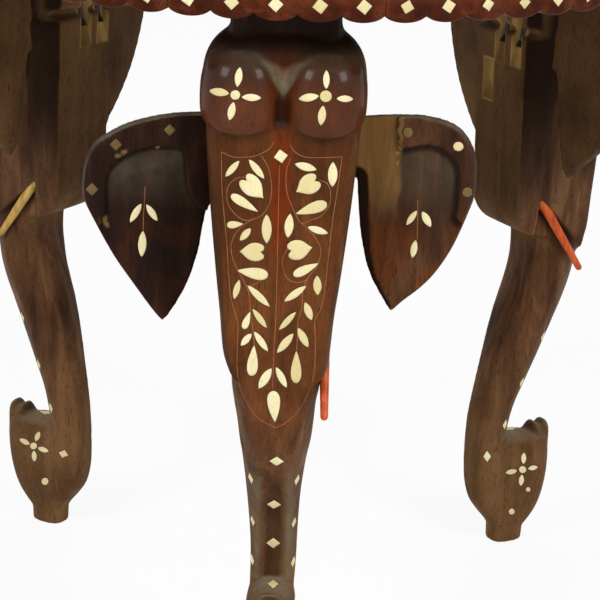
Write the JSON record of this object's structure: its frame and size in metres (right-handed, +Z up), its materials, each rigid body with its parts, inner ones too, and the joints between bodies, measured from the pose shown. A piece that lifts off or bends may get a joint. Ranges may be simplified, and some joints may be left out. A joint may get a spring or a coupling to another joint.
{
  "type": "side table",
  "caption": "Round wooden side table on elephant-head legs whose curled trunks are the feet, with a scalloped apron and bone inlay of leaves, hearts and lozenges.",
  "frame": {"origin": "on the floor under the middle of the round top", "axes": "+Z up, -Y towards the front, where one leg faces; +X to the right of a person who looks at that leg"},
  "size_m": [0.4639, 0.464, 0.44],
  "materials": {
    "top_wood": "polished dark red-brown rosewood",
    "apron_wood": "polished dark red-brown rosewood",
    "leg_wood": "worn brown rosewood, waxed on the face, dull behind",
    "ear_wood": "dark waxed rosewood",
    "bone": "smooth yellowed bone",
    "tusk_orange": "smooth stained orange-brown bone",
    "tusk_yellow": "smooth yellow bone",
    "screw_steel": "dull steel"
  },
  "bodies": {
    "root": {"top_board": "top_wood", "top_border_diamonds": "bone", "top_wreath": "bone", "top_rosette": "bone", "apron_segment_01": "apron_wood", "apron_segment_02": "apron_wood", "apron_segment_03": "apron_wood", "apron_segment_04": "apron_wood", "apron_segment_05": "apron_wood", "apron_segment_06": "apron_wood", "apron_segment_07": "apron_wood", "apron_segment_08": "apron_wood", "apron_segment_09": "apron_wood", "apron_segment_10": "apron_wood", "apron_segment_11": "apron_wood", "apron_segment_12": "apron_wood", "apron_segment_13": "apron_wood", "apron_diamonds": "bone", "leg_front": "leg_wood", "face_inlay_front": "bone", "forehead_flowers_front": "bone", "trunk_diamonds_front": "bone", "foot_inlay_front": "bone", "ear_front_right": "ear_wood", "ear_inlay_front_right": "bone", "tusk_front_right": "tusk_orange", "ear_front_left": "ear_wood", "ear_inlay_front_left": "bone", "leg_rear_right": "leg_wood", "face_inlay_rear_right": "bone", "forehead_flowers_rear_right": "bone", "trunk_diamonds_rear_right": "bone", "foot_inlay_rear_right": "bone", "ear_rear_right_right": "ear_wood", "ear_inlay_rear_right_right": "bone", "tusk_rear_right_right": "tusk_orange", "ear_rear_right_left": "ear_wood", "ear_inlay_rear_right_left": "bone", "tusk_rear_right_left": "tusk_orange", "leg_rear_left": "leg_wood", "face_inlay_rear_left": "bone", "forehead_flowers_rear_left": "bone", "trunk_diamonds_rear_left": "bone", "foot_inlay_rear_left": "bone", "ear_rear_left_right": "ear_wood", "ear_inlay_rear_left_right": "bone", "tusk_rear_left_right": "tusk_yellow", "ear_rear_left_left": "ear_wood", "ear_inlay_rear_left_left": "bone", "tusk_rear_left_left": "tusk_yellow", "pocket_screws": "screw_steel"}
  },
  "joints": []
}
